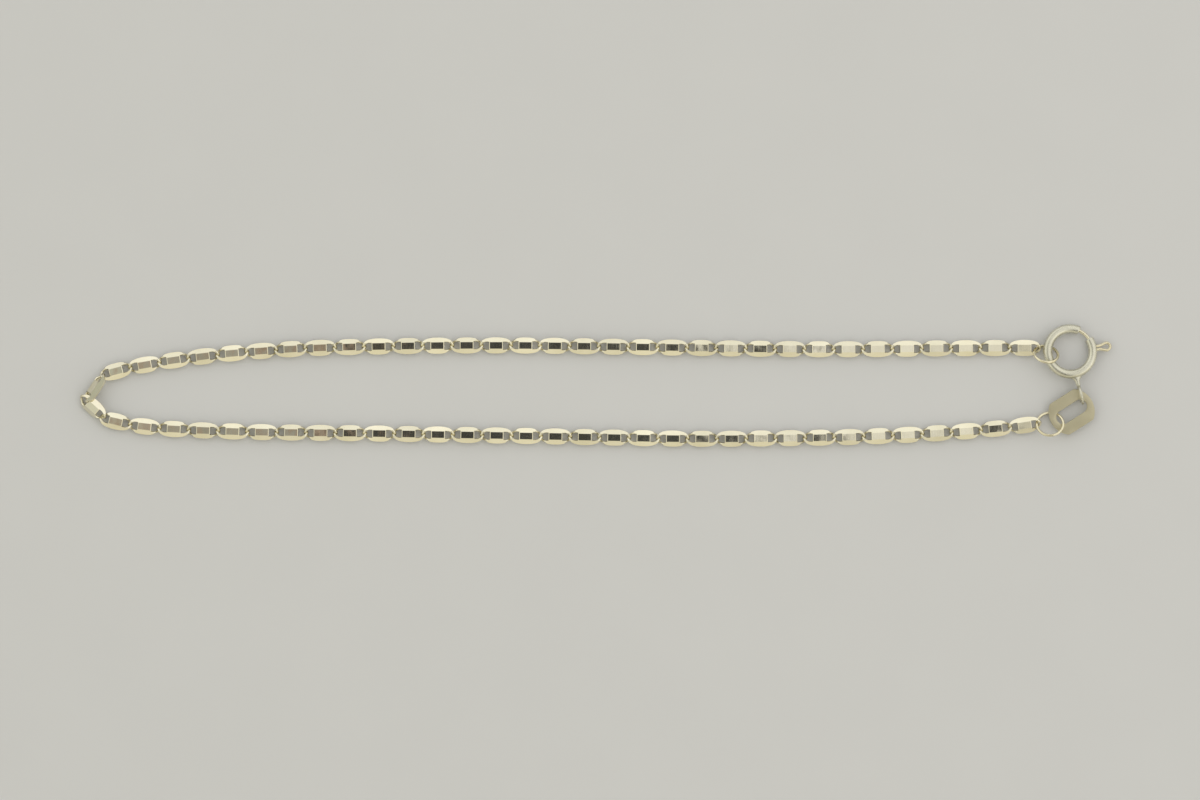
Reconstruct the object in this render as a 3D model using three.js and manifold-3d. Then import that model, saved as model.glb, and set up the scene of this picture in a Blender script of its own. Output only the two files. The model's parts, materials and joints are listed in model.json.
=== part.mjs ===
// A closed gold ankle chain of flat mirror links, laid out as a long narrow loop on a table.
// Sixty-six faceted links lie in an upper row, a lower row and a bend of two links at the far left. Each row ends
// in a jump ring. The upper one is caught in a spring ring clasp, the lower one holds a flat slotted end plate,
// and the clasp's soldered eye goes through that plate. Millimetres, +Z up, the table at z = 0.
import * as THREE from "three";
import { mergeVertices } from "three/addons/utils/BufferGeometryUtils.js";
import Module from "manifold-3d";

const wasm = await Module();
wasm.setup();

// Links
const linkPitch = 3.226;
const linkWidth = 1.78;
const linkThickness = 0.84;
const linkWire = 0.3;
const panelLength = 1.5;
const rimHeight = 0.14;
const touch = 0.06; // how deep the wires of neighbouring links are pressed together
const rowLinks = 32;

// Jump rings
const upperRingOuter = 2.94;
const lowerRingOuter = 3.2;
const jumpRingWire = 0.3;

// Spring ring: a round tube bent to a ring, open between two mouths
const clawOuter = 6.0;
const tubeDiameter = 1.0;
const tubeWall = 0.14;
const mouthTop = 67; // degrees round the ring, 0 pointing along +X
const mouthRight = 34;
const clawTilt = 6.3;
const clawHighSide = 236;

// Bolt: a bent wire that closes the gap, with a bent thumb loop standing out through the tube's slot
const boltWire = 0.36;
const boltReach = 9; // degrees that the bolt's nose enters the far mouth
const boltTail = 12; // degrees from the thumb loop back to the bolt's hidden end
const thumbWire = 0.26;
const thumbAt = 8;
const thumbLength = 1.62;
const thumbWidth = 1.16;
const thumbFoot = 0.4; // between the two legs of the thumb loop, at the slot
const boltTravel = 38;
const slotPlay = 0.12;

// Soldered eye on the spring ring
const eyeOuter = 2.2;
const eyeWire = 0.3;
const neckLength = 0.8;
const neckWidth = 0.5;
const neckFoot = 0.6;
const eyeAt = -77;

// End plate: a disc with two flats and a long slot
const plateDiameter = 5.06;
const plateWidth = 3.98;
const plateThickness = 0.3;
const slotLength = 3.72;
const slotWidth = 1.52;

// How the pieces at the clasp lie on each other: places from what each one hangs on, and angles in degrees. A jump
// ring leans with its far side on the table, and lifts and rolls the last link of its row.
const upperRingLies = { inFromTip: 0.623, aside: -0.683, lean: 46.9, turn: -7.2, linkLift: 4.5, linkRoll: 3.5 };
const lowerRingLies = { inFromTip: 0.29, aside: -0.115, lean: 30.8, turn: 9.4, linkLift: 4.8, linkRoll: 3.5 };
const clawLies = { fromRing: 0.193, aside: 0.283 };
const plateLies = { fromEye: [-0.946, -1.854], height: 0.713, turn: 32.4, tipX: 0.8, tipY: -0.5 };

// Clearance
const tableGap = 0.01;

// How finely round things are cut
const tubeSides = 12;
const boreSides = 8;
const wireSides = 6;
const ringSteps = 18;
const tubeSteps = 30;
const boltSteps = 14;
const thumbSteps = 24;
const plateSteps = 9;

const radians = THREE.MathUtils.degToRad;
const halfThickness = linkThickness / 2;
const wireRadius = linkWire / 2;
const tipAlong = (linkPitch + linkWire - touch) / 2;
const rowLength = rowLinks * linkPitch;

// The chain's route, from the clasp to the bend: share of the row's length from the clasp, and the distance
// from the loop's middle line.
const upperRoute = [
  [-0.02, 4.1], [0, 4.1], [0.1, 4.05], [0.19, 3.95], [0.28, 3.98], [0.45, 4.22], [0.57, 4.37], [0.7, 4.26],
  [0.79, 4.0], [0.87, 3.4], [0.93, 2.6], [0.97, 1.9], [1.0, 1.05], [1.03, 0.3],
];
const lowerRoute = [
  [-0.02, -3.7], [0, -4.15], [0.03, -4.62], [0.06, -4.92], [0.11, -5.3], [0.19, -5.67], [0.28, -5.84],
  [0.37, -5.89], [0.53, -5.61], [0.7, -5.32], [0.875, -5.03], [0.96, -4.48], [1.0, -3.55], [1.02, -2.9],
];

// The bend's two slack links: where each one's middle lies from the end of its row, in link pitches and above
// the table, and how it is turned.
const bendLinks = [
  { shift: [-0.2244, -0.4479, 0.2452], heading: 236.7, tip: -3.2, roll: 43.2 },
  { shift: [-0.2858, 0.3797, 0.164], heading: -41.9, tip: -0.2, roll: 15.5 },
];

// A quarter of a link, from the panel's end to the tip. along is a share of the tip's distance, across of half
// the width, lift of half the thickness. The section's outward and inward reach are shares of half the width,
// its crown of half the thickness.
const railTable = [
  { along: panelLength / 2 / tipAlong, across: 0.71, lift: 0, out: 0.29, ridge: 0.3, inward: 0.3, crown: 1 },
  { along: 0.665, across: 0.655, lift: 0.4, out: 0.225, ridge: 0.15, inward: 0.215, crown: 0.58 },
];

// Where the end wire turns into the tip, in wire radii back from the tip and as a share of half the width.
const shoulderAt = { fromTip: 1.55, across: 0.4 };

// The round wire at a link's end, as a five-sided section.
const wireSection = {
  out: wireRadius,
  rim: wireRadius * Math.sin(radians(36)),
  ridge: wireRadius * Math.cos(radians(72)),
  crown: wireRadius * Math.sin(radians(72)),
  inward: wireRadius,
};

function solid(geometry) {
  geometry.deleteAttribute("normal");
  geometry.deleteAttribute("uv");
  const merged = mergeVertices(geometry, 1e-4);
  return new wasm.Manifold(
    new wasm.Mesh({
      numProp: 3,
      vertProperties: new Float32Array(merged.attributes.position.array),
      triVerts: new Uint32Array(merged.index.array),
    }),
  );
}

function geometryOf(body) {
  const mesh = body.getMesh();
  const positions = new Float32Array(mesh.numVert * 3);
  for (let i = 0; i < mesh.numVert; i++) {
    positions.set(mesh.vertProperties.subarray(i * mesh.numProp, i * mesh.numProp + 3), i * 3);
  }
  const geometry = new THREE.BufferGeometry();
  geometry.setAttribute("position", new THREE.BufferAttribute(positions, 3));
  geometry.setIndex(new THREE.BufferAttribute(mesh.triVerts, 1));
  return geometry;
}

// Stations of the link's ring in the quarter where x and y are positive, from the panel's end to the tip.
function quarterStations() {
  const halfWidth = linkWidth / 2;
  const rails = railTable.map((row) => ({
    x: row.along * tipAlong,
    y: row.across * halfWidth,
    z: row.lift * halfThickness,
    out: row.out * halfWidth,
    ridge: row.ridge * halfWidth,
    inward: row.inward * halfWidth,
    rim: rimHeight / 2,
    crown: row.crown * halfThickness,
  }));
  const shoulder = {
    x: tipAlong - shoulderAt.fromTip * wireRadius,
    y: shoulderAt.across * halfWidth,
    z: halfThickness - wireRadius,
    ...wireSection,
  };
  const tip = { x: tipAlong, y: 0, z: 0, ...wireSection };
  return [...rails, shoulder, tip];
}

// One link about its own middle, its length along x. Its ends lean, so that the rail on +y rises and the one on
// -y dips, or the other way round when side is -1.
function linkGeometry(side) {
  const quarter = quarterStations();
  const flip = (s, sx, sy) => ({ ...s, x: s.x * sx, y: s.y * sy, z: s.z * sy * side });
  const back = [...quarter].reverse();
  const ring = [
    ...quarter.map((s) => flip(s, 1, 1)),
    ...back.slice(1).map((s) => flip(s, 1, -1)),
    ...quarter.map((s) => flip(s, -1, -1)),
    ...back.slice(1).map((s) => flip(s, -1, 1)),
  ];
  const count = ring.length;
  const points = ring.flatMap((s, i) => {
    const before = ring[(i + count - 1) % count];
    const after = ring[(i + 1) % count];
    const besidePanel = Math.abs(s.x) <= panelLength / 2 + 1e-6;
    const normal = besidePanel
      ? new THREE.Vector2(0, Math.sign(s.y))
      : new THREE.Vector2(before.y - after.y, after.x - before.x).normalize();
    return [
      [s.out, s.rim],
      [-s.ridge, s.crown],
      [-s.inward, 0],
      [-s.ridge, -s.crown],
      [s.out, -s.rim],
    ].map(([u, v]) => new THREE.Vector3(s.x + normal.x * u, s.y + normal.y * u, s.z + v));
  });
  const corners = 5;
  const [rightUp, rightDown, leftDown, leftUp] = [0, 2 * quarter.length - 2, 2 * quarter.length - 1, count - 1];
  const faces = [];
  const quad = (a, b, c, d) => faces.push(a, b, c, a, c, d);
  for (let i = 0; i < count; i++) {
    const next = (i + 1) % count;
    const besidePanel = i === rightDown || i === leftUp;
    for (let j = 0; j < corners; j++) {
      if (besidePanel && (j === 1 || j === 2)) continue; // the panel itself closes these two
      const k = (j + 1) % corners;
      quad(i * corners + j, i * corners + k, next * corners + k, next * corners + j);
    }
  }
  const at = (station, corner) => station * corners + corner;
  quad(at(rightUp, 1), at(leftUp, 1), at(leftDown, 1), at(rightDown, 1));
  quad(at(rightUp, 3), at(rightDown, 3), at(leftDown, 3), at(leftUp, 3));
  for (const [up, down] of [[rightUp, rightDown], [leftDown, leftUp]]) {
    quad(at(up, 1), at(down, 1), at(down, 2), at(up, 2));
    quad(at(up, 2), at(down, 2), at(down, 3), at(up, 3));
  }
  const geometry = new THREE.BufferGeometry().setFromPoints(points);
  geometry.setIndex(faces);
  return geometry;
}

const triesPerStep = 60;

// Points a fixed chord apart along a curve that runs towards -X past a start.
function walk(curve, start, steps, chord) {
  const points = [start.clone()];
  let t = 0;
  const fine = 1 / (steps * triesPerStep);
  while (points.length <= steps && t < 1) {
    t += fine;
    const here = curve.getPoint(t);
    const last = points[points.length - 1];
    if (here.x < start.x && here.distanceTo(last) >= chord) {
      points.push(here.sub(last).setLength(chord).add(last));
    }
  }
  return points;
}

// The pivots between the links of a row, from the clasp's end to the bend.
function rowPivots(route) {
  const points = route.map(([share, y]) => new THREE.Vector3(-share * rowLength, y, halfThickness));
  const start = new THREE.Vector3(0, route[1][1], halfThickness);
  return walk(new THREE.CatmullRomCurve3(points), start, rowLinks, linkPitch);
}

// A link turned about its own length, tipped, turned to its heading and moved to its middle.
function placedLink(side, middle, heading, tip, roll) {
  const turn = new THREE.Euler(radians(roll), radians(tip), radians(heading), "ZYX");
  const place = new THREE.Matrix4().makeRotationFromEuler(turn).setPosition(middle);
  return solid(linkGeometry(side).applyMatrix4(place));
}

// The links of one row from the clasp's end on. The first one is lifted about its far end.
function rowOfLinks(pivots, { linkLift, linkRoll }) {
  return pivots.slice(1).map((pivot, k) => {
    const along = pivots[k].clone().sub(pivot);
    const heading = THREE.MathUtils.radToDeg(Math.atan2(along.y, along.x));
    const lift = k === 0 ? linkLift : 0;
    const roll = k === 0 ? linkRoll : 0;
    const half = along.clone().multiplyScalar(Math.cos(radians(lift)) / 2);
    half.z = (along.length() / 2) * Math.sin(radians(lift));
    return placedLink(k % 2 === 0 ? 1 : -1, pivot.clone().add(half), heading, -lift, roll);
  });
}

function bendLink(pivot, { shift, heading, tip, roll }) {
  const [x, y, z] = shift.map((share) => share * linkPitch);
  const middle = new THREE.Vector3(pivot.x + x, pivot.y + y, z);
  return placedLink(1, middle, heading, tip, roll);
}

function join(solids) {
  return solids.reduce((whole, next) => whole.add(next));
}

class Arc extends THREE.Curve {
  constructor(radius, from, to) {
    super();
    Object.assign(this, { radius, from, to });
  }
  getPoint(t, target = new THREE.Vector3()) {
    const angle = radians(this.from + (this.to - this.from) * t);
    return target.set(Math.cos(angle) * this.radius, Math.sin(angle) * this.radius, 0);
  }
}

function polygon(radius, sides) {
  const corner = (i) => {
    const angle = ((i + 0.5) / sides) * 2 * Math.PI;
    return new THREE.Vector2(Math.cos(angle) * radius, Math.sin(angle) * radius);
  };
  return new THREE.Shape(Array.from({ length: sides }, (_, i) => corner(i)));
}

function sweep(shape, path, steps) {
  return new THREE.ExtrudeGeometry(shape, { extrudePath: path, steps, bevelEnabled: false });
}

// A closed wire ring that leans with its +Y side down, and is then turned about the vertical.
function leaningRing(outer, { lean, turn }, middle) {
  const ring = new THREE.TorusGeometry((outer - jumpRingWire) / 2, jumpRingWire / 2, wireSides, ringSteps);
  return ring.rotateX(-radians(lean)).rotateZ(radians(turn)).translate(middle.x, middle.y, middle.z);
}

// The middle of a jump ring that hangs in the tip of its row's last link and touches the table.
function ringMiddle(pivot, outer, { inFromTip, aside, lean }) {
  const radius = (outer - jumpRingWire) / 2;
  const height = tableGap + jumpRingWire / 2 + radius * Math.sin(radians(lean));
  return new THREE.Vector3(pivot.x - inFromTip + radius, pivot.y + aside, height);
}

const clawRadius = (clawOuter - tubeDiameter) / 2;
const tubeRadius = tubeDiameter / 2;
const boreRadius = tubeRadius - tubeWall;
const upperPivots = rowPivots(upperRoute);
const lowerPivots = rowPivots(lowerRoute);

const upperRingMiddle = ringMiddle(upperPivots[0], upperRingOuter, upperRingLies);
const lowerRingMiddle = ringMiddle(lowerPivots[0], lowerRingOuter, lowerRingLies);
const clawMiddle = new THREE.Vector3(
  upperRingMiddle.x + clawRadius + clawLies.fromRing,
  upperRingMiddle.y + clawLies.aside,
  tableGap + tubeRadius + clawRadius * Math.sin(radians(clawTilt)),
);
const clawPlace = new THREE.Matrix4()
  .makeRotationAxis(
    new THREE.Vector3(Math.cos(radians(clawHighSide + 90)), Math.sin(radians(clawHighSide + 90)), 0),
    -radians(clawTilt),
  )
  .setPosition(clawMiddle);
const eyeReach = clawOuter / 2 + neckLength + eyeOuter / 2;
const eyeMiddle = new THREE.Vector3(
  clawMiddle.x + eyeReach * Math.cos(radians(eyeAt)),
  clawMiddle.y + eyeReach * Math.sin(radians(eyeAt)),
  tableGap + eyeOuter / 2,
);
const plateMiddle = new THREE.Vector3(
  eyeMiddle.x + plateLies.fromEye[0],
  eyeMiddle.y + plateLies.fromEye[1],
  plateLies.height,
);

function chainUpper() {
  return join([...rowOfLinks(upperPivots, upperRingLies), bendLink(upperPivots[rowLinks], bendLinks[0])]);
}

function chainLower() {
  return join([...rowOfLinks(lowerPivots, lowerRingLies), bendLink(lowerPivots[rowLinks], bendLinks[1])]);
}

// The tube, bored from mouth to mouth and slotted for the thumb loop, with the soldered eye.
function springRing() {
  const end = mouthRight + 360;
  const past = 2; // degrees that the bore's cutter runs past each mouth
  const tube = solid(sweep(polygon(tubeRadius, tubeSides), new Arc(clawRadius, mouthTop, end), tubeSteps));
  const bore = solid(
    sweep(polygon(boreRadius, boreSides), new Arc(clawRadius, mouthTop - past, end + past), tubeSteps),
  );
  const slotHalf = thumbWire / 2 + slotPlay;
  const slotSection = new THREE.Shape([
    new THREE.Vector2(-slotHalf, 0),
    new THREE.Vector2(slotHalf, 0),
    new THREE.Vector2(slotHalf, tubeDiameter),
    new THREE.Vector2(-slotHalf, tubeDiameter),
  ]);
  const legAngle = THREE.MathUtils.radToDeg((thumbFoot / 2 + slotHalf) / (clawRadius + boreRadius));
  const slot = solid(
    sweep(slotSection, new Arc(clawRadius, thumbAt + legAngle, thumbAt - boltTravel - legAngle), boltSteps),
  );
  const neckReach = neckLength + tubeWall + eyeWire / 2; // from inside the tube's wall to the eye's wire
  const neck = new THREE.CylinderGeometry(neckWidth / 2, neckFoot / 2, neckReach, boreSides)
    .rotateZ(-Math.PI / 2)
    .translate(clawOuter / 2 - tubeWall + neckReach / 2, 0, 0)
    .rotateZ(radians(eyeAt));
  const tilted = tube.add(solid(neck)).subtract(bore).subtract(slot).transform(clawPlace.toArray());
  const eye = new THREE.TorusGeometry((eyeOuter - eyeWire) / 2, eyeWire / 2, wireSides, ringSteps)
    .rotateX(Math.PI / 2)
    .rotateZ(radians(eyeAt))
    .translate(eyeMiddle.x, eyeMiddle.y, eyeMiddle.z);
  return tilted.add(solid(eye));
}

// The bolt's wire and the thumb loop bent from it, closed and at rest.
function springBolt() {
  const wire = solid(
    sweep(polygon(boltWire / 2, boreSides), new Arc(clawRadius, mouthTop + boltReach, thumbAt - boltTail), boltSteps),
  );
  const loopRadius = (thumbWidth - thumbWire) / 2;
  const loopMiddle = clawOuter / 2 + thumbLength - thumbWidth / 2;
  const bends = 8;
  const halfTurn = 125; // degrees each way from the thumb loop's tip, where its legs begin
  const loop = Array.from({ length: bends + 1 }, (_, i) => {
    const angle = radians(halfTurn - (2 * halfTurn * i) / bends);
    return new THREE.Vector3(loopMiddle + loopRadius * Math.cos(angle), loopRadius * Math.sin(angle), 0);
  });
  const leg = (side) => new THREE.Vector3(clawOuter / 2, (side * thumbFoot) / 2, 0);
  const foot = (side) => new THREE.Vector3(clawRadius, (side * thumbFoot) / 2, 0);
  const path = new THREE.CatmullRomCurve3([foot(1), leg(1), ...loop, leg(-1), foot(-1)]);
  const thumb = sweep(polygon(thumbWire / 2, wireSides), path, thumbSteps).rotateZ(radians(thumbAt));
  return wire.add(solid(thumb)).transform(clawPlace.toArray());
}

function endPlate() {
  const outline = new THREE.Shape();
  const radius = plateDiameter / 2;
  const flat = Math.asin(plateWidth / plateDiameter);
  outline.absarc(0, 0, radius, -flat, flat, false);
  outline.absarc(0, 0, radius, Math.PI - flat, Math.PI + flat, false);
  outline.closePath();
  const slot = new THREE.Path();
  const end = (slotLength - slotWidth) / 2;
  slot.absarc(end, 0, slotWidth / 2, -Math.PI / 2, Math.PI / 2, false);
  slot.absarc(-end, 0, slotWidth / 2, Math.PI / 2, (3 * Math.PI) / 2, false);
  slot.closePath();
  outline.holes.push(slot);
  const options = { depth: plateThickness, bevelEnabled: false, curveSegments: plateSteps };
  const plate = new THREE.ExtrudeGeometry(outline, options);
  return solid(
    plate
      .translate(0, 0, -plateThickness / 2)
      .rotateZ(radians(plateLies.turn))
      .rotateX(radians(plateLies.tipX))
      .rotateY(radians(plateLies.tipY))
      .translate(plateMiddle.x, plateMiddle.y, plateMiddle.z),
  );
}

const metals = {
  chain: { color: 0xd8c391, roughness: 0.22, metalness: 1 },
  clasp: { color: 0xcfc3a4, roughness: 0.32, metalness: 1 },
  ring: { color: 0xd6bd84, roughness: 0.28, metalness: 1 },
  plate: { color: 0xb5a36e, roughness: 0.42, metalness: 1 },
};

const pieces = [
  ["chain_upper", "chain", chainUpper()],
  ["chain_lower", "chain", chainLower()],
  ["jump_ring_upper", "ring", solid(leaningRing(upperRingOuter, upperRingLies, upperRingMiddle))],
  ["jump_ring_lower", "ring", solid(leaningRing(lowerRingOuter, lowerRingLies, lowerRingMiddle))],
  ["end_tag", "plate", endPlate()],
  ["spring_ring", "clasp", springRing()],
  ["spring_bolt", "ring", springBolt()],
];

const group = new THREE.Group();
for (const [name, metal, body] of pieces) {
  const mesh = new THREE.Mesh(geometryOf(body), new THREE.MeshStandardMaterial(metals[metal]));
  mesh.name = name;
  group.add(mesh);
}

// The origin is at the middle of the whole outline, on the table.
const box = new THREE.Box3().setFromObject(group);
group.position.set(-(box.min.x + box.max.x) / 2, -(box.min.y + box.max.y) / 2, -box.min.z);

export default group;
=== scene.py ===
import bpy
import bmesh
import json
import math
import random
from mathutils import Euler, Matrix, Vector


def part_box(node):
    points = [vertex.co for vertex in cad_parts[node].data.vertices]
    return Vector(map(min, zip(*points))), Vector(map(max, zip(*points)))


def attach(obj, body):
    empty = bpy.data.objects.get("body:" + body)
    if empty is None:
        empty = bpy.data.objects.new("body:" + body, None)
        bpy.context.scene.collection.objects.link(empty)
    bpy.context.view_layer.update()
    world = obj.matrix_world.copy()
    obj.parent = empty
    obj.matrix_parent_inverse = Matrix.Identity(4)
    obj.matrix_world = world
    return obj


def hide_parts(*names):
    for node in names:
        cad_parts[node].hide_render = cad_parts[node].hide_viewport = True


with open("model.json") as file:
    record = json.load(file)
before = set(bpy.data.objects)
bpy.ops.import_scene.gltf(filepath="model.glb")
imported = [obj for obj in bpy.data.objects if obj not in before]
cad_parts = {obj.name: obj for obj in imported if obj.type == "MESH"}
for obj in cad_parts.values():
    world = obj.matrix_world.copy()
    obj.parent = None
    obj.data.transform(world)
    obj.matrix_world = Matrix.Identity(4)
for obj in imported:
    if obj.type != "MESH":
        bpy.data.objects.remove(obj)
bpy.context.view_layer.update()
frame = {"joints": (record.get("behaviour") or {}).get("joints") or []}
mm = 0.001
print("frame loaded")

# camera straight above the chain, as a copy stand holds it
cameraSet = {"aim": (0.47, -1.58), "height": 520.0, "frameWidth": 132.0, "sensor": 36.0, "nearest": 10.0}


def addCamera():
    s = cameraSet
    data = bpy.data.cameras.new("copyStandCamera")
    data.sensor_width = s["sensor"]
    data.lens = s["sensor"] * s["height"] / s["frameWidth"]
    data.clip_start = s["nearest"] * mm
    camera = bpy.data.objects.new("copyStandCamera", data)
    camera.location = (s["aim"][0] * mm, s["aim"][1] * mm, s["height"] * mm)
    bpy.context.scene.collection.objects.link(camera)
    bpy.context.scene.camera = camera


addCamera()


# mesh helpers
def linkObject(name, mesh):
    thing = bpy.data.objects.new(name, mesh)
    bpy.context.scene.collection.objects.link(thing)
    return thing


def meshFrom(name, points, faces):
    mesh = bpy.data.meshes.new(name)
    mesh.from_pydata([tuple(p) for p in points], [], faces)
    bm = bmesh.new()
    bm.from_mesh(mesh)
    bmesh.ops.recalc_face_normals(bm, faces=bm.faces)
    bm.to_mesh(mesh)
    bm.free()
    mesh.update()
    return mesh


def sweepMesh(name, path, section, closed=True):
    # path is a list of points, section(i) gives the (outward, upward) offsets at point i
    up = Vector((0, 0, 1))
    count = len(path)
    points, faces = [], []
    for i, here in enumerate(path):
        before = path[i - 1] if closed or i > 0 else path[0]
        after = path[(i + 1) % count] if closed or i < count - 1 else path[-1]
        along = (after - before).normalized()
        out = along.cross(up).normalized()
        rise = out.cross(along).normalized()
        points += [here + out * a + rise * b for a, b in section(i)]
    sides = len(section(0))
    for i in range(count if closed else count - 1):
        n = (i + 1) % count
        for j in range(sides):
            k = (j + 1) % sides
            faces.append((i * sides + j, i * sides + k, n * sides + k, n * sides + j))
    if not closed:
        faces.append(tuple(range(sides)))
        faces.append(tuple(range((count - 1) * sides, count * sides)))
    return meshFrom(name, points, faces)


def onRing(radius, degrees):
    a = math.radians(degrees)
    return Vector((radius * math.cos(a), radius * math.sin(a), 0))


def arcPath(radius, start, end, steps):
    return [onRing(radius, start + (end - start) * i / steps) for i in range(steps + 1)]


def roundSection(radius, sides):
    turn = [2 * math.pi * j / sides for j in range(sides)]
    return [(radius * math.cos(a), radius * math.sin(a)) for a in turn]


def spline(points, steps):
    # smooth closed curve through the points
    count = len(points)
    out = []
    for i in range(count):
        p = [points[(i + k - 1) % count] for k in range(4)]
        for s in range(steps):
            t = s / steps
            even = (2 * p[0] - 5 * p[1] + 4 * p[2] - p[3]) * t ** 2
            odd = (3 * p[1] - p[0] - 3 * p[2] + p[3]) * t ** 3
            out.append(0.5 * ((2 * p[1]) + (p[2] - p[0]) * t + even + odd))
    return out


def cutWith(thing, tool, operation):
    change = thing.modifiers.new("cut", "BOOLEAN")
    change.solver = "EXACT"
    change.operation = operation
    change.object = tool
    applyAll(thing)
    old = tool.data
    bpy.data.objects.remove(tool)
    bpy.data.meshes.remove(old)
    return thing


def applyAll(thing):
    bpy.context.view_layer.update()
    ready = thing.evaluated_get(bpy.context.evaluated_depsgraph_get())
    fresh = bpy.data.meshes.new_from_object(ready)
    old = thing.data
    thing.modifiers.clear()
    thing.data = fresh
    bpy.data.meshes.remove(old)


def crisp(mesh, degrees):
    mesh.shade_smooth()
    mesh.set_sharp_from_angle(angle=math.radians(degrees))


# faceted links
linkSet = {
    "pitch": 3.226, "width": 1.78, "thickness": 0.84, "wire": 0.3, "touch": 0.06,
    "panelLength": 1.5, "panelDrop": 0.05, "panelEdge": 0.072, "facetWidth": 0.36, "rim": 0.05,
    "panelDepth": 1.1, "straight": 0.75, "straightEvery": 3, "sides": 26, "steps": 6, "crispAngle": 30,
    "normalWeight": 90, "rowLinks": 32, "walkSteps": 60, "rockLift": 0.45, "rockRoll": 1.2, "seed": 7,
}
# how the wire of a link runs: along, across, lift, half width and half height, from the panel to the tip
wireRun = {
    1: [  # the raised side, a crescent cut flat from tip to tip
        {"along": 0.0, "across": 0.63, "lift": 0.0, "wide": 0.26, "high": 0.47, "square": 3.2},
        {"along": 0.4, "across": 0.62, "lift": 0.0, "wide": 0.26, "high": 0.47, "square": 3.2},
        {"along": 0.8, "across": 0.585, "lift": 0.02, "wide": 0.24, "high": 0.45, "square": 3.0},
        {"along": 1.14, "across": 0.535, "lift": 0.11, "wide": 0.20, "high": 0.34, "square": 2.6},
        {"along": 1.44, "across": 0.40, "lift": 0.235, "wide": 0.165, "high": 0.19, "square": 2.2},
        {"along": 1.64, "across": 0.20, "lift": 0.17, "wide": 0.15, "high": 0.15, "square": 2.0},
    ],
    -1: [  # the lowered side, whose ends dive under the neighbours as round wire
        {"along": 0.0, "across": 0.63, "lift": 0.0, "wide": 0.26, "high": 0.46, "square": 3.2},
        {"along": 0.4, "across": 0.625, "lift": 0.0, "wide": 0.255, "high": 0.45, "square": 3.0},
        {"along": 0.8, "across": 0.60, "lift": 0.02, "wide": 0.22, "high": 0.40, "square": 2.5},
        {"along": 1.14, "across": 0.53, "lift": 0.09, "wide": 0.158, "high": 0.27, "square": 2.0},
        {"along": 1.44, "across": 0.39, "lift": 0.21, "wide": 0.145, "high": 0.165, "square": 2.0},
        {"along": 1.64, "across": 0.20, "lift": 0.165, "wide": 0.15, "high": 0.15, "square": 2.0},
    ],
}


def power(value, exponent):
    return math.copysign(abs(value) ** exponent, value)


def oval(wide, high, square, sides):
    turn = [2 * math.pi * (j + 0.5) / sides for j in range(sides)]
    e = 2 / square
    return [(wide * power(math.cos(a), e), high * power(math.sin(a), e)) for a in turn]


def wireStations(side):
    s = linkSet
    tip = {"along": (s["pitch"] + s["wire"] - s["touch"]) / 2, "across": 0.0, "lift": 0.0,
           "wide": s["wire"] / 2, "high": s["wire"] / 2, "square": 2.0}
    north, south = wireRun[side], wireRun[-side]
    rows = []

    def put(row, sx, sy):
        rows.append((Vector((row["along"] * sx, row["across"] * sy, row["lift"] * sy * side)),
                     (row["wide"], row["high"], row["square"])))

    for row in north:
        put(row, 1, 1)
    put(tip, 1, 1)
    for row in reversed(south):
        put(row, 1, -1)
    for row in south[1:]:
        put(row, -1, -1)
    put(tip, -1, -1)
    for row in reversed(north[1:]):
        put(row, -1, 1)
    return rows


def prism(name, outline, axis, half):
    # a flat outline drawn out both ways along an axis
    points = []
    for end in (-half, half):
        for a, b in outline:
            points.append((end, a, b) if axis == "x" else (a, end, b))
    n = len(outline)
    faces = [tuple(range(n)), tuple(range(n, 2 * n))]
    faces += [(i, (i + 1) % n, n + (i + 1) % n, n + i) for i in range(n)]
    return linkObject(name, meshFrom(name, points, faces))


def buildLink(side):
    s = linkSet
    rows = wireStations(side)
    path = spline([row[0] for row in rows], s["steps"])
    shape = spline([Vector(row[1]) for row in rows], s["steps"])
    # the straight sides need few stations
    kept = [i for i, here in enumerate(path) if abs(here.x) > s["straight"] or i % s["straightEvery"] == 0]
    path, shape = [path[i] for i in kept], [shape[i] for i in kept]
    ring = sweepMesh("linkWire", path, lambda i: oval(shape[i][0], shape[i][1], shape[i][2], s["sides"]))
    link = linkObject("masterLink", ring)
    h, l, e, d = s["thickness"] / 2, s["panelLength"] / 2, s["panelEdge"], s["panelDrop"]
    ends = [(-l, -h + d), (-l + e, -h), (l - e, -h), (l, -h + d)]
    ends += [(l, h - d), (l - e, h), (-l + e, h), (-l, h - d)]
    cutWith(link, prism("linkPanel", ends, "y", s["panelDepth"] / 2), "UNION")
    w, f, r = s["width"] / 2, s["facetWidth"], s["rim"]
    facets = [(-w, -r), (-f, -h), (f, -h), (w, -r), (w, r), (f, h), (-f, h), (-w, r)]
    cutWith(link, prism("facetCutter", facets, "x", s["pitch"]), "INTERSECT")
    mesh = link.data
    bpy.data.objects.remove(link)
    return mesh


masterLinks = {side: buildLink(side) for side in (1, -1)}
print("links cut", [len(m.polygons) for m in masterLinks.values()])

# jump rings, drawn wire closed with a soldered seam; the rows start at them
ringSet = {"wire": 0.3, "steps": 120, "sides": 20, "seamDip": 0.07, "seamWidth": 3.0, "crispAngle": 60}
jumpRings = {
    "upper": {"node": "jump_ring_upper", "outer": 2.94, "lean": 46.9, "turn": -7.2, "seamAt": 118.0},
    "lower": {"node": "jump_ring_lower", "outer": 3.2, "lean": 30.8, "turn": 9.4, "seamAt": 205.0},
}


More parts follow.
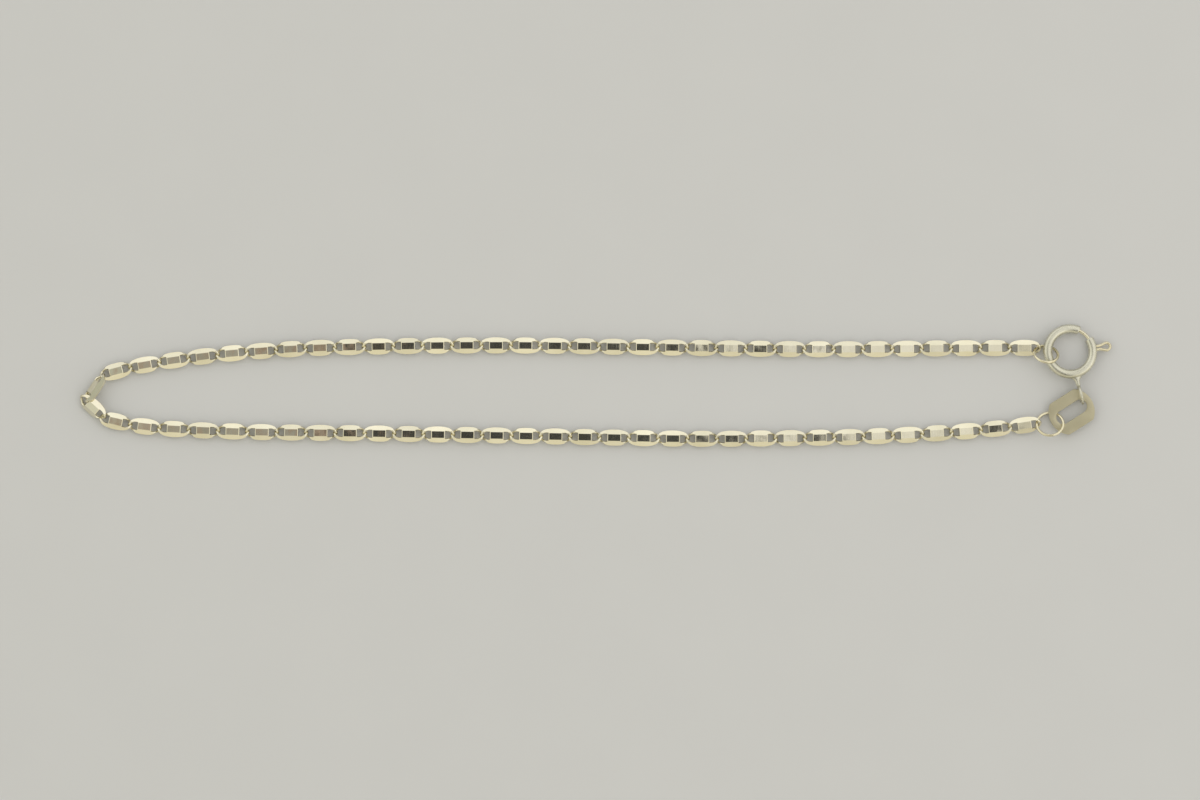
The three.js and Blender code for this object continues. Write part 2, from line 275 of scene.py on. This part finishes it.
def buildJumpRing(name):
    s, ring = ringSet, jumpRings[name]
    radius = (ring["outer"] - s["wire"]) / 2
    turns = [360 * i / s["steps"] for i in range(s["steps"])]
    path = [onRing(radius, a) for a in turns]

    def section(i):
        off = abs((turns[i] - ring["seamAt"] + 180) % 360 - 180) / s["seamWidth"]
        return roundSection(s["wire"] / 2 * (1 - s["seamDip"] * math.exp(-off * off)), s["sides"])

    mesh = sweepMesh(ring["node"], path, section)
    low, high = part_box(ring["node"])
    turn = Euler((-math.radians(ring["lean"]), 0, math.radians(ring["turn"])), "XYZ").to_matrix().to_4x4()
    mesh.transform(Matrix.Translation((low + high) / 2) @ turn @ Matrix.Scale(mm, 4))
    crisp(mesh, s["crispAngle"])
    piece = linkObject(name + "JumpRing", mesh)
    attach(piece, "anklet")
    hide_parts(ring["node"])
    return piece


# the two rows, each walked from the clasp to the bend: share of the row and distance from the middle line
rowRoutes = {
    "upper": [(-0.02, 4.1), (0, 4.1), (0.1, 4.05), (0.19, 3.95), (0.28, 3.98), (0.45, 4.22), (0.57, 4.37),
              (0.7, 4.26), (0.79, 4.0), (0.87, 3.4), (0.93, 2.6), (0.97, 1.9), (1.0, 1.05), (1.03, 0.3)],
    "lower": [(-0.02, -3.7), (0, -4.15), (0.03, -4.62), (0.06, -4.92), (0.11, -5.3), (0.19, -5.67),
              (0.28, -5.84), (0.37, -5.89), (0.53, -5.61), (0.7, -5.32), (0.875, -5.03), (0.96, -4.48),
              (1.0, -3.55), (1.02, -2.9)],
}
# how each row hangs on its ring, and how its last link lies at the bend
rowEnds = {
    "upper": {"ring": "jump_ring_upper", "inFromTip": 0.623, "aside": -0.683,
              "lift": 4.5, "roll": 3.5, "rocked": {},
              "bend": (-0.2244, -0.4479, 0.2452), "heading": 236.7, "tip": -3.2, "turn": 43.2},
    "lower": {"ring": "jump_ring_lower", "inFromTip": 0.29, "aside": -0.115,
              "lift": 4.8, "roll": 3.5, "rocked": {1: 3.0},
              "bend": (-0.2858, 0.3797, 0.164), "heading": -41.9, "tip": -0.2, "turn": 15.5},
}


def centripetal(points, t):
    # the same curve through the route's points that the row's solid follows
    p = (len(points) - 1) * t
    i = min(int(p), len(points) - 2)
    w = p - i
    p0 = points[i - 1] if i > 0 else 2 * points[0] - points[1]
    p3 = points[i + 2] if i + 2 < len(points) else 2 * points[-1] - points[-2]
    p1, p2 = points[i], points[i + 1]
    d0, d1, d2 = [max((a - b).length_squared ** 0.25, 1e-4) for a, b in ((p0, p1), (p1, p2), (p2, p3))]
    t1 = ((p1 - p0) / d0 - (p2 - p0) / (d0 + d1) + (p2 - p1) / d1) * d1
    t2 = ((p2 - p1) / d1 - (p3 - p1) / (d1 + d2) + (p3 - p2) / d2) * d1
    return p1 + t1 * w + (-3 * p1 + 3 * p2 - 2 * t1 - t2) * w ** 2 + (2 * p1 - 2 * p2 + t1 + t2) * w ** 3


def walkRow(route, steps, chord):
    length = steps * chord
    curve = [Vector((-share * length, y, 0)) for share, y in route]
    found = [Vector((0, route[1][1], 0))]
    fine = 1 / (steps * linkSet["walkSteps"])
    t = 0
    while len(found) <= steps and t < 1:
        t += fine
        here = centripetal(curve, t)
        if here.x < 0 and (here - found[-1]).length >= chord:
            found.append(found[-1] + (here - found[-1]).normalized() * chord)
    return found


def rowPlaces(name):
    # where each link of a row lies: (side, matrix) in millimetres
    s, end, ring = linkSet, rowEnds[name], jumpRings[name]
    pivots = walkRow(rowRoutes[name], s["rowLinks"], s["pitch"])
    low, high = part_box(end["ring"])
    ringMiddle = (low + high) / 2 / mm
    ringRadius = (ring["outer"] - ringSet["wire"]) / 2
    start = ringMiddle + Vector((end["inFromTip"] - ringRadius, -end["aside"], 0))
    shift = Vector((start.x, start.y - pivots[0].y, s["thickness"] / 2))
    pivots = [p + shift for p in pivots]
    wobble = random.Random(s["seed"] + len(name) + ord(name[0]))
    places = []
    for k, (near, far) in enumerate(zip(pivots, pivots[1:])):
        along = near - far
        if k == 0:  # the ring lifts the first link about its far end
            lift, roll = math.radians(end["lift"]), math.radians(end["roll"])
            rise = along.length / 2 * math.sin(lift)
        else:  # the others lie flat, rocked a little on the table
            lift = math.radians(end["rocked"].get(k, wobble.uniform(-s["rockLift"], s["rockLift"])))
            roll = math.radians(wobble.uniform(-s["rockRoll"], s["rockRoll"]))
            rise = abs(math.sin(lift)) * s["panelLength"] / 2 + abs(math.sin(roll)) * s["facetWidth"]
        half = along / 2 * math.cos(lift) + Vector((0, 0, rise))
        turn = Euler((roll, -lift, math.atan2(along.y, along.x)), "XYZ").to_matrix().to_4x4()
        places.append((1 if k % 2 == 0 else -1, Matrix.Translation(far + half) @ turn))
    bend = pivots[-1] + Vector(end["bend"]) * s["pitch"]
    bend.z = end["bend"][2] * s["pitch"]
    turn = Euler([math.radians(end[a]) for a in ("turn", "tip", "heading")], "XYZ").to_matrix().to_4x4()
    places.append((1, Matrix.Translation(bend) @ turn))
    return places


def buildRow(name, pieceName, node):
    tones = random.Random(linkSet["seed"])
    whole = bmesh.new()
    tone = whole.faces.layers.float.new("linkTone")
    for side, place in rowPlaces(name):
        copied = masterLinks[side].copy()
        copied.transform(place)
        first = len(whole.faces)
        whole.from_mesh(copied)
        whole.faces.ensure_lookup_table()
        value = tones.random()
        for face in whole.faces[first:]:
            face[tone] = value
        bpy.data.meshes.remove(copied)
    for vert in whole.verts:
        vert.co *= mm
    mesh = bpy.data.meshes.new(pieceName)
    whole.to_mesh(mesh)
    whole.free()
    crisp(mesh, linkSet["crispAngle"])
    piece = linkObject(pieceName, mesh)
    weigh = piece.modifiers.new("facetNormals", "WEIGHTED_NORMAL")
    weigh.keep_sharp = True
    weigh.weight = linkSet["normalWeight"]
    applyAll(piece)
    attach(piece, "anklet")
    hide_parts(node)
    return piece


chainUpper = buildRow("upper", "upperLinks", "chain_upper")
chainLower = buildRow("lower", "lowerLinks", "chain_lower")
print("rows laid", len(chainUpper.data.polygons), len(chainLower.data.polygons))

upperJumpRing = buildJumpRing("upper")
lowerJumpRing = buildJumpRing("lower")
print("jump rings closed")

# spring ring, its soldered eye and its bolt, made about the ring's own axis
claspSet = {
    "outer": 6.0, "tube": 1.0, "wall": 0.14, "mouthTop": 67.0, "mouthRight": 34.0, "mouthRound": 0.05,
    "mouthTuck": 0.8, "mouthSlant": 1.6, "slantReach": 9.0, "sides": 40, "steps": 190, "crispAngle": 32,
    "boreSides": 28, "borePast": 3.0,
    "slotPlay": 0.09, "slotSpare": 0.08, "slotSteps": 40, "boltTravel": 38.0,
    "eyeOuter": 2.2, "eyeWire": 0.3, "eyeAt": -77.0, "eyeSteps": 96, "eyeSides": 20,
    "neck": 0.8, "neckWidth": 0.48, "neckFoot": 1.5, "neckSpread": 0.2, "neckSlim": 0.34,
    "slimShare": 0.25, "footHeight": 0.08, "footSunk": 0.1, "neckFrom": 0.3, "neckInto": 0.6,
    "neckSteps": 28, "neckSides": 24,
}
boltSet = {
    "wire": 0.36, "reach": 9.0, "tail": 12.0, "thumbWire": 0.3, "thumbAt": 8.0, "thumbLength": 1.62,
    "thumbWidth": 1.12, "foot": 0.37, "stem": 0.3, "sides": 20, "steps": 60, "tipRadius": 0.02,
    "loopSteps": 30, "legSteps": (4, 5), "crispAngle": 40,
}
hinge = frame["joints"][0]
claspAxis = Vector(hinge["axis"]).normalized()
claspMiddle = Vector(hinge["pos_m"])
claspTilt = Vector((0, 0, 1)).rotation_difference(claspAxis).to_matrix().to_4x4()
claspPlace = Matrix.Translation(claspMiddle) @ claspTilt


def buildTube():
    s = claspSet
    middle, radius = (s["outer"] - s["tube"]) / 2, s["tube"] / 2
    end = s["mouthRight"] + 360
    span = math.radians(end - s["mouthTop"]) * middle
    path = arcPath(middle, s["mouthTop"], end, s["steps"])
    lip = s["mouthRound"]

    def section(i):
        fromEnd = min(i, s["steps"] - i) * span / s["steps"]
        inset = lip - math.sqrt(max(lip ** 2 - max(lip - fromEnd, 0) ** 2, 0))
        return roundSection(radius - inset * s["mouthTuck"], s["sides"])

    tube = linkObject("claspTube", sweepMesh("claspTube", path, section, closed=False))
    for vert in tube.data.vertices:  # the upper mouth is cut at a slant
        turn = math.degrees(math.atan2(vert.co.y, vert.co.x))
        near = max(0.0, 1 - abs(turn - s["mouthTop"]) / s["slantReach"]) ** 2
        if near > 0:
            out = (Vector((vert.co.x, vert.co.y)).length - middle) / radius
            vert.co.rotate(Euler((0, 0, -math.radians(s["mouthSlant"]) * out * near)))
    borePath = arcPath(middle, s["mouthTop"] - s["borePast"], end + s["borePast"], s["steps"])
    hollow = roundSection(radius - s["wall"], s["boreSides"])
    bore = sweepMesh("bore", borePath, lambda i: hollow, closed=False)
    neckStart = middle + radius * s["neckFrom"]
    neckEnd = s["outer"] / 2 + s["neck"] + s["eyeWire"] * s["neckInto"]
    steps = s["neckSteps"]
    neckPath = [onRing(neckStart + (neckEnd - neckStart) * i / steps, s["eyeAt"]) for i in range(steps + 1)]

    def neckSection(i):  # soldered foot spread on the tube, and a slim end on the eye
        past = max((neckEnd - neckStart) * i / steps + neckStart - s["outer"] / 2 + s["footSunk"], 0)
        flare = (s["neckFoot"] - s["neckWidth"]) / 2 * math.exp(-past / s["neckSpread"])
        slim = 1 - s["neckSlim"] * max(1 - (1 - i / steps) / s["slimShare"], 0) ** 2
        waist = s["neckWidth"] / 2 * slim
        unit = roundSection(1, s["neckSides"])
        return [(a * (waist + flare), b * (waist + flare * s["footHeight"])) for a, b in unit]

    cutWith(tube, linkObject("neck", sweepMesh("neck", neckPath, neckSection, closed=False)), "UNION")
    cutWith(tube, linkObject("bore", bore), "DIFFERENCE")
    b = boltSet
    half = b["thumbWire"] / 2 + s["slotPlay"]
    reach = math.degrees((b["foot"] / 2 + s["slotSpare"] + half) / (middle + radius - s["wall"]))
    box = [(0.0, -half), (s["tube"], -half), (s["tube"], half), (0.0, half)]
    slotPath = arcPath(middle, b["thumbAt"] - s["boltTravel"] - reach, b["thumbAt"] + reach, s["slotSteps"])
    slot = sweepMesh("slot", slotPath, lambda i: box, closed=False)
    cutWith(tube, linkObject("slot", slot), "DIFFERENCE")
    tube.data.transform(claspPlace @ Matrix.Scale(mm, 4))
    return tube


def buildEye():
    s = claspSet
    reach = s["outer"] / 2 + s["neck"] + s["eyeOuter"] / 2
    low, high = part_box("spring_ring")
    flat = onRing(reach, s["eyeAt"])
    radius = (s["eyeOuter"] - s["eyeWire"]) / 2
    path = [onRing(radius, 360 * i / s["eyeSteps"]) for i in range(s["eyeSteps"])]
    eye = sweepMesh("eye", path, lambda i: roundSection(s["eyeWire"] / 2, s["eyeSides"]))
    stand = Matrix.Rotation(math.radians(s["eyeAt"]), 4, "Z") @ Matrix.Rotation(math.pi / 2, 4, "X")
    place = claspMiddle + flat * mm
    place.z = high.z - s["eyeOuter"] / 2 * mm
    eye.transform(Matrix.Translation(place) @ stand @ Matrix.Scale(mm, 4))
    return linkObject("eye", eye)


def buildBolt():
    s, b = claspSet, boltSet
    middle = (s["outer"] - s["tube"]) / 2
    start, end = b["thumbAt"] - b["tail"], s["mouthTop"] + b["reach"]
    steps = b["steps"]
    tip = b["wire"] / 2

    def section(i):
        fromEnd = min(i, steps - i) * math.radians(end - start) * middle / steps
        rounded = math.sqrt(max(tip ** 2 - max(tip - fromEnd, 0) ** 2, 0))
        return roundSection(max(rounded, b["tipRadius"]), b["sides"])

    wireMesh = sweepMesh("boltWire", arcPath(middle, start, end, steps), section, closed=False)
    bolt = linkObject("boltWire", wireMesh)
    loopRadius = (b["thumbWidth"] - b["thumbWire"]) / 2
    loopMiddle = s["outer"] / 2 + b["thumbLength"] - b["thumbWidth"] / 2
    # the legs stand straight out of the slot, then spread and run smoothly into the round loop
    bend = s["outer"] / 2 + b["stem"]
    apart = Vector((bend - loopMiddle, b["foot"] / 2))
    meet = math.atan2(apart.y, apart.x) - math.acos(loopRadius / apart.length)
    turns = [meet * (1 - 2 * i / b["loopSteps"]) for i in range(b["loopSteps"] + 1)]
    wire = [Vector((loopMiddle + loopRadius * math.cos(a), loopRadius * math.sin(a), 0)) for a in turns]
    straight, spread = b["legSteps"]
    for way in (1, -1):
        foot, knee = [Vector((x, way * b["foot"] / 2, 0)) for x in (middle, bend)]
        meeting = wire[0 if way == 1 else -1]
        leg = [foot.lerp(knee, i / straight) for i in range(straight)]
        leg += [knee.lerp(meeting, (i + 0.5) / spread) for i in range(spread)]
        wire = leg + wire if way == 1 else wire + leg[::-1]
    thumb = sweepMesh("thumb", wire, lambda i: roundSection(b["thumbWire"] / 2, b["sides"]), closed=False)
    thumb.transform(Matrix.Rotation(math.radians(b["thumbAt"]), 4, "Z"))
    cutWith(bolt, linkObject("thumb", thumb), "UNION")
    bolt.data.transform(claspPlace @ Matrix.Scale(mm, 4))
    return bolt


claspTube = cutWith(buildTube(), buildEye(), "UNION")
claspTube.name = "claspTubeAndEye"
crisp(claspTube.data, claspSet["crispAngle"])
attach(claspTube, "anklet")
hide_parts("spring_ring")
claspBolt = buildBolt()
claspBolt.name = "claspBolt"
crisp(claspBolt.data, boltSet["crispAngle"])
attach(claspBolt, "bolt")
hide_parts("spring_bolt")
print("clasp built")

# slotted end tag, a disc with two flats and soft corners
tagSet = {
    "length": 5.06, "width": 3.98, "thickness": 0.3, "slotLength": 3.72, "slotWidth": 1.52, "corner": 0.06,
    "cornerReach": 20, "edge": 0.06, "rounding": (90, 67, 45, 22, 0), "turn": 32.4, "tipX": 0.8,
    "tipY": -0.5, "steps": 180, "crispAngle": 40,
}


def tagOutline(angle, inset):
    # the nearer of the disc and the flats, blended softly where they meet
    s = tagSet
    radius, half = s["length"] / 2 - inset, s["width"] / 2 - inset
    toFlat = half / max(abs(math.sin(angle)), 1e-6)
    soft = s["corner"]
    gap = (toFlat - radius) / soft
    return radius + soft * -math.log1p(math.exp(-gap * 2)) / 2 if gap > -s["cornerReach"] else toFlat


def slotOutline(angle, grow):
    s = tagSet
    half, end = s["slotWidth"] / 2 + grow, (s["slotLength"] - s["slotWidth"]) / 2
    c, n = abs(math.cos(angle)), abs(math.sin(angle))
    if n > 1e-9 and half / n * c <= end:
        return half / n
    return end * c + math.sqrt(max(half ** 2 - (end * n) ** 2, 0))


def buildTag():
    s = tagSet
    e, t = s["edge"], s["thickness"] / 2
    rounding = [math.radians(a) for a in s["rounding"]]
    levels = [(e * (1 - math.cos(a)), t - e * (1 - math.sin(a))) for a in rounding]
    levels += [(inset, -z) for inset, z in reversed(levels)]
    rings = [(tagOutline, inset, z) for inset, z in levels]
    rings += [(slotOutline, inset, z) for inset, z in reversed(levels)]
    n = s["steps"]
    points, faces = [], []
    for outline, inset, z in rings:
        for i in range(n):
            a = 2 * math.pi * (i + 0.5) / n
            r = outline(a, inset)
            points.append((r * math.cos(a), r * math.sin(a), z))
    for k in range(len(rings)):
        m = (k + 1) % len(rings)
        for i in range(n):
            j = (i + 1) % n
            faces.append((k * n + i, k * n + j, m * n + j, m * n + i))
    mesh = meshFrom("endTag", points, faces)
    low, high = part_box("end_tag")
    turn = Matrix.Rotation(math.radians(s["tipY"]), 4, "Y")
    turn = turn @ Matrix.Rotation(math.radians(s["tipX"]), 4, "X")
    turn = turn @ Matrix.Rotation(math.radians(s["turn"]), 4, "Z")
    mesh.transform(Matrix.Translation((low + high) / 2) @ turn @ Matrix.Scale(mm, 4))
    crisp(mesh, s["crispAngle"])
    piece = linkObject("slottedTag", mesh)
    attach(piece, "anklet")
    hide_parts("end_tag")
    return piece


endTag = buildTag()
print("tag built")


# node helpers
def noiseNode(nodes, scale, detail):
    node = nodes.new("ShaderNodeTexNoise")
    node.inputs["Scale"].default_value = scale
    node.inputs["Detail"].default_value = detail
    return node


def rangeNode(nodes, given, result=(0, 1)):
    node = nodes.new("ShaderNodeMapRange")
    node.inputs["From Min"].default_value, node.inputs["From Max"].default_value = given
    node.inputs["To Min"].default_value, node.inputs["To Max"].default_value = result
    return node


def blendNode(nodes, way="MIX"):
    node = nodes.new("ShaderNodeMix")
    node.data_type = "RGBA"
    node.blend_type = way
    if way == "MULTIPLY":
        node.inputs["Factor"].default_value = 1
    return node


def twoToneNode(nodes, first, second):
    node = blendNode(nodes)
    node.inputs["A"].default_value = (*first, 1)
    node.inputs["B"].default_value = (*second, 1)
    return node


def rampNode(nodes, stops):
    node = nodes.new("ShaderNodeValToRGB")
    elements = node.color_ramp.elements
    while len(elements) < len(stops):
        elements.new(0.5)
    for element, (at, colour) in zip(elements, stops):
        element.position = at
        element.color = (*colour, 1)
    return node


# gold finishes
goldGrain = {
    "tintScale": 380, "tintFrom": (0.32, 0.68), "scratchTurn": 28, "roughFrom": (0.35, 0.65),
    "bumpDepth": 0.00002, "waveScale": 700,
}
goldFinishes = {
    "chainGold": {"light": (0.89, 0.85, 0.70), "dark": (0.82, 0.775, 0.61), "roughness": (0.06, 0.11),
                  "scratch": (9000, 700, 2500), "bump": 0.012, "tone": 0.13, "wave": 0.000014},
    "ringGold": {"light": (0.85, 0.795, 0.61), "dark": (0.75, 0.69, 0.50), "roughness": (0.16, 0.28),
                 "scratch": (2500, 2500, 2500), "bump": 0.02, "tone": 0.0, "wave": 0.0},
    "claspGold": {"light": (0.735, 0.72, 0.62), "dark": (0.65, 0.635, 0.535), "roughness": (0.26, 0.32),
                  "scratch": (5200, 5200, 5200), "bump": 0.004, "tone": 0.0, "wave": 0.0},
    "tagGold": {"light": (0.62, 0.575, 0.42), "dark": (0.54, 0.50, 0.355), "roughness": (0.40, 0.50),
                "scratch": (9000, 9000, 9000), "bump": 0.008, "tone": 0.0, "wave": 0.0},
}


def goldMaterial(name):
    s, g = goldFinishes[name], goldGrain
    material = bpy.data.materials.new(name)
    material.use_nodes = True
    nodes, links = material.node_tree.nodes, material.node_tree.links
    shader = nodes["Principled BSDF"]
    shader.inputs["Metallic"].default_value = 1.0
    where = nodes.new("ShaderNodeTexCoord")
    wide = noiseNode(nodes, g["tintScale"], 3)
    links.new(where.outputs["Object"], wide.inputs["Vector"])
    stretch = nodes.new("ShaderNodeMapping")
    stretch.inputs["Scale"].default_value = s["scratch"]
    stretch.inputs["Rotation"].default_value = (0, 0, math.radians(g["scratchTurn"]))
    links.new(where.outputs["Object"], stretch.inputs["Vector"])
    fine = noiseNode(nodes, 1, 4)
    links.new(stretch.outputs["Vector"], fine.inputs["Vector"])
    tint = twoToneNode(nodes, s["dark"], s["light"])
    spread = rangeNode(nodes, g["tintFrom"])
    links.new(wide.outputs["Fac"], spread.inputs["Value"])
    links.new(spread.outputs["Result"], tint.inputs["Factor"])
    colour = tint.outputs["Result"]
    if s["tone"] > 0:  # each link takes its own slight shade
        each = nodes.new("ShaderNodeAttribute")
        each.attribute_name = "linkTone"
        shade = rangeNode(nodes, (0, 1), (1 - s["tone"], 1))
        links.new(each.outputs["Fac"], shade.inputs["Value"])
        dim = blendNode(nodes, "MULTIPLY")
        links.new(colour, dim.inputs["A"])
        links.new(shade.outputs["Result"], dim.inputs["B"])
        colour = dim.outputs["Result"]
    links.new(colour, shader.inputs["Base Color"])
    rough = rangeNode(nodes, g["roughFrom"], s["roughness"])
    links.new(fine.outputs["Fac"], rough.inputs["Value"])
    links.new(rough.outputs["Result"], shader.inputs["Roughness"])
    bump = nodes.new("ShaderNodeBump")
    bump.inputs["Strength"].default_value = s["bump"]
    bump.inputs["Distance"].default_value = g["bumpDepth"]
    links.new(fine.outputs["Fac"], bump.inputs["Height"])
    if s["wave"] > 0:  # slow waves in the cut faces
        swell = noiseNode(nodes, g["waveScale"], 1)
        links.new(where.outputs["Object"], swell.inputs["Vector"])
        wave = nodes.new("ShaderNodeBump")
        wave.inputs["Strength"].default_value = 1
        wave.inputs["Distance"].default_value = s["wave"]
        links.new(swell.outputs["Fac"], wave.inputs["Height"])
        links.new(wave.outputs["Normal"], bump.inputs["Normal"])
    links.new(bump.outputs["Normal"], shader.inputs["Normal"])
    return material


def dress(piece, material):
    piece.data.materials.clear()
    piece.data.materials.append(material)


finishes = {name: goldMaterial(name) for name in goldFinishes}
dress(chainUpper, finishes["chainGold"])
dress(chainLower, finishes["chainGold"])
dress(upperJumpRing, finishes["ringGold"])
dress(lowerJumpRing, finishes["ringGold"])
dress(claspTube, finishes["claspGold"])
dress(claspBolt, finishes["ringGold"])
dress(endTag, finishes["tagGold"])
print("gold finishes on")

# pale floor
floorSet = {
    "size": 3.0, "drop": 0.00001, "colour": (0.71, 0.715, 0.74), "shade": (0.685, 0.69, 0.715),
    "roughness": 0.6, "grainScale": 90,
}


def addFloor():
    s = floorSet
    h = s["size"] / 2
    corners = [(-h, -h, -s["drop"]), (h, -h, -s["drop"]), (h, h, -s["drop"]), (-h, h, -s["drop"])]
    floor = linkObject("paleFloor", meshFrom("paleFloor", corners, [(0, 1, 2, 3)]))
    material = bpy.data.materials.new("palePaper")
    material.use_nodes = True
    nodes, links = material.node_tree.nodes, material.node_tree.links
    shader = nodes["Principled BSDF"]
    shader.inputs["Roughness"].default_value = s["roughness"]
    where = nodes.new("ShaderNodeTexCoord")
    grain = noiseNode(nodes, s["grainScale"], 5)
    tint = twoToneNode(nodes, s["shade"], s["colour"])
    links.new(where.outputs["Object"], grain.inputs["Vector"])
    links.new(grain.outputs["Fac"], tint.inputs["Factor"])
    links.new(tint.outputs["Result"], shader.inputs["Base Color"])
    floor.data.materials.append(material)


addFloor()
print("floor laid")

# soft studio light: a sky that is bright low down and dark overhead, and soft boxes
skySet = {
    "sideReach": 0.7, "overheadFrom": (0.93, 0.985), "patchScale": 90,
    "patches": [(0.36, (0.012, 0.015, 0.014)), (0.46, (0.030, 0.036, 0.036)), (0.54, (0.095, 0.105, 0.112)),
                (0.62, (0.070, 0.050, 0.040))],
    "strength": 1.12, "farSide": (1.04, 1.04, 1.03), "nearSide": (0.83, 0.795, 0.68),
    "stops": [(0.0, (0.50, 0.49, 0.46)), (0.30, (0.90, 0.89, 0.83)), (0.46, (1.02, 1.01, 0.95)),
              (0.72, (0.46, 0.455, 0.43)), (0.90, (0.07, 0.07, 0.065)), (1.0, (0.026, 0.032, 0.028))],
}
softBoxes = {
    "rightBox": {"at": (379, 0, 600), "size": (600, 1100), "turn": 27,
                 "glow": 0.84, "colour": (1.0, 0.98, 0.92)},
    "smallBox": {"at": (10, -80, 600), "size": (70, 60), "turn": 0,
                 "glow": 0.66, "colour": (1.0, 0.97, 0.86)},
    "leftBox": {"at": (-414.5, 0, 600), "size": (600, 1000), "turn": 0,
                "glow": 0.48, "colour": (0.98, 1.0, 0.88)},
}
# narrow strips between the dark overhead and the left box, blush and grey by turns
stripSet = {
    "first": -72.0, "step": -17.0, "count": 3, "width": 17.0, "height": 600, "length": 1000,
    "blush": {"glow": 0.36, "colour": (1.0, 0.73, 0.56)},
    "grey": {"glow": 0.34, "colour": (0.96, 1.0, 0.93)},
}


def addSky():
    s = skySet
    world = bpy.data.worlds.new("softSky")
    world.use_nodes = True
    bpy.context.scene.world = world
    nodes, links = world.node_tree.nodes, world.node_tree.links
    where = nodes.new("ShaderNodeTexCoord")
    split = nodes.new("ShaderNodeSeparateXYZ")
    links.new(where.outputs["Generated"], split.inputs["Vector"])
    # bright low down and dark above
    ramp = rampNode(nodes, s["stops"])
    links.new(split.outputs["Z"], ramp.inputs["Fac"])
    # warmer on the near side
    side = rangeNode(nodes, (-s["sideReach"], s["sideReach"]))
    links.new(split.outputs["Y"], side.inputs["Value"])
    cast = twoToneNode(nodes, s["nearSide"], s["farSide"])
    links.new(side.outputs["Result"], cast.inputs["Factor"])
    toned = blendNode(nodes, "MULTIPLY")
    links.new(ramp.outputs["Color"], toned.inputs["A"])
    links.new(cast.outputs["Result"], toned.inputs["B"])
    # dim patches straight overhead, as a dark room gives
    patches = noiseNode(nodes, s["patchScale"], 1)
    links.new(where.outputs["Generated"], patches.inputs["Vector"])
    patchRamp = rampNode(nodes, s["patches"])
    links.new(patches.outputs["Fac"], patchRamp.inputs["Fac"])
    overhead = rangeNode(nodes, s["overheadFrom"])
    links.new(split.outputs["Z"], overhead.inputs["Value"])
    room = blendNode(nodes)
    links.new(overhead.outputs["Result"], room.inputs["Factor"])
    links.new(toned.outputs["Result"], room.inputs["A"])
    links.new(patchRamp.outputs["Color"], room.inputs["B"])
    links.new(room.outputs["Result"], nodes["Background"].inputs["Color"])
    nodes["Background"].inputs["Strength"].default_value = s["strength"]


def addSoftBoxes():
    boxes = dict(softBoxes)
    t = stripSet
    for i in range(t["count"]):
        at = (t["first"] + i * t["step"], 0, t["height"])
        boxes[f"strip{i}"] = {"at": at, "size": (t["width"], t["length"]), "turn": 0,
                              **(t["blush"] if i % 2 == 0 else t["grey"])}
    for name, s in boxes.items():
        data = bpy.data.lights.new(name, "AREA")
        data.shape = "RECTANGLE"
        data.size, data.size_y = s["size"][0] * mm, s["size"][1] * mm
        data.energy = s["glow"] * math.pi * data.size * data.size_y
        data.color = s["colour"]
        lamp = bpy.data.objects.new(name, data)
        lamp.location = [c * mm for c in s["at"]]
        lamp.rotation_euler.z = math.radians(s["turn"])
        bpy.context.scene.collection.objects.link(lamp)


addSky()
addSoftBoxes()
bpy.context.scene.view_settings.view_transform = "Standard"
print("light set")
